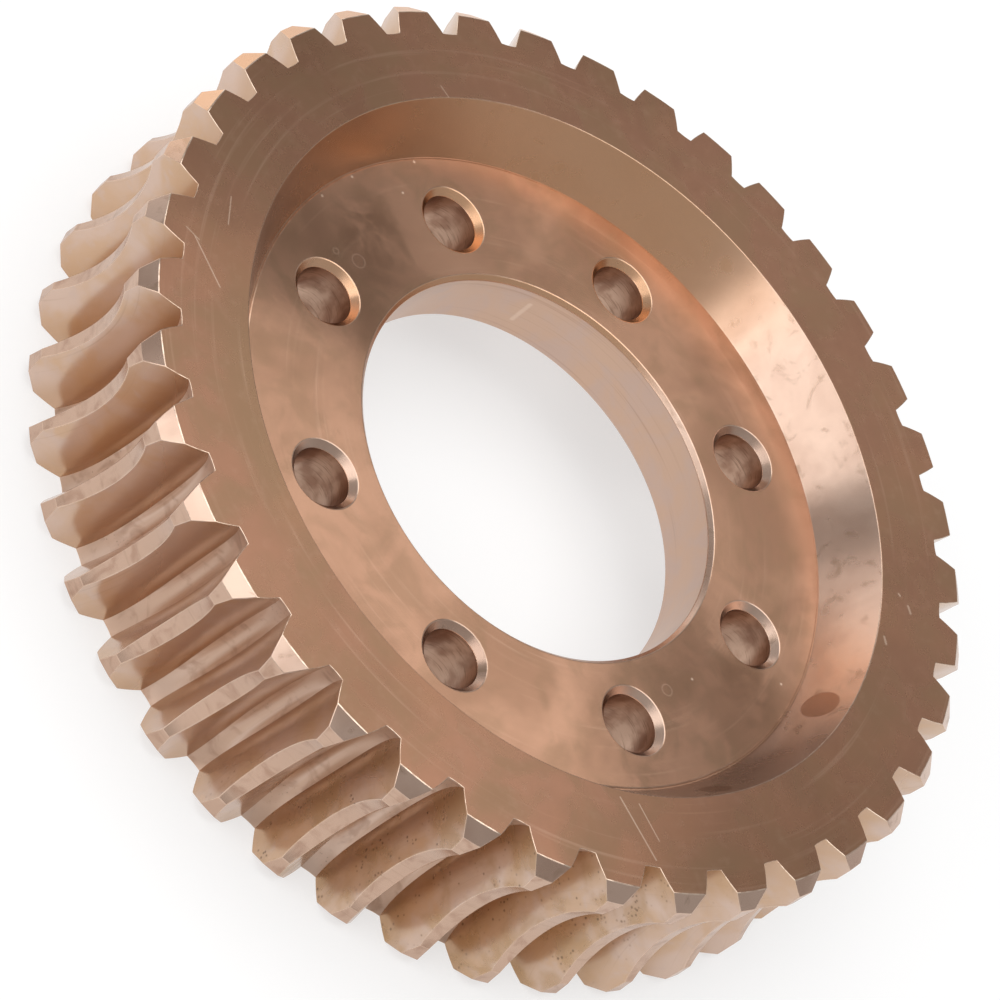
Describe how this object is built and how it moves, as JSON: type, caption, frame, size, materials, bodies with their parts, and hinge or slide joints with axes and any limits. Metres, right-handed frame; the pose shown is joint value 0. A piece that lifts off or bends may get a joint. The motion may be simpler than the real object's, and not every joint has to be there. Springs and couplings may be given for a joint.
{
  "type": "worm wheel",
  "caption": "Throated bronze worm wheel rim with curved helical teeth, a central register bore, a ring of bolt holes in a recessed web and dished faces.",
  "frame": {"origin": "centre of the wheel: its axis, at the mid-plane of the throat", "axes": "+Z along the wheel's axis, out of the shallow recess; +X through a bolt hole"},
  "size_m": [0.419, 0.4186, 0.095],
  "materials": {
    "bronze": "turned and hobbed, dulled"
  },
  "bodies": {
    "root": {"worm_wheel": "bronze"}
  },
  "joints": []
}
